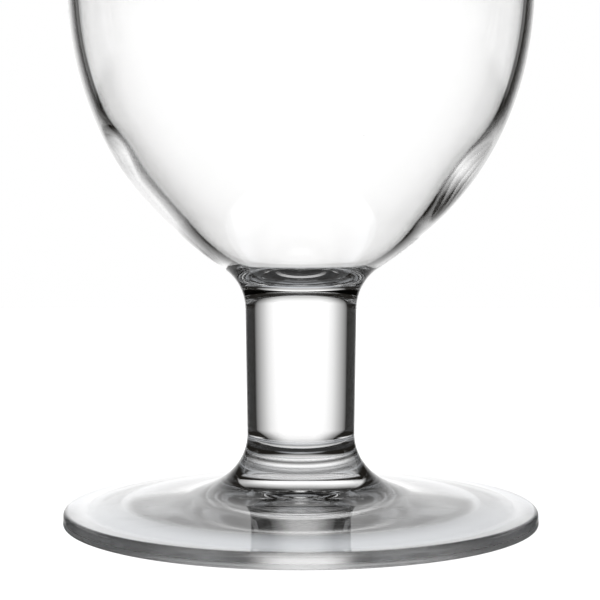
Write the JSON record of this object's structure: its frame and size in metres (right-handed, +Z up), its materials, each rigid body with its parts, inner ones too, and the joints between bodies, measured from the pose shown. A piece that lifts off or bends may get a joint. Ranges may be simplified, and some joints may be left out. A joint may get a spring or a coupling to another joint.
{
  "type": "hurricane glass",
  "caption": "Clear plastic hurricane glass: a waisted bowl with a flared rim on a short solid stem and a round disc foot, for serving cold drinks.",
  "frame": {"origin": "centre of the foot, on the plane that the glass stands on", "axes": "+Z up along the axis of revolution; X and Y lie on the table and are interchangeable"},
  "size_m": [0.08, 0.08, 0.2],
  "materials": {
    "clear_plastic": "clear, colourless, polished"
  },
  "bodies": {
    "root": {"bowl": "clear_plastic", "stem": "clear_plastic", "foot": "clear_plastic"}
  },
  "joints": []
}
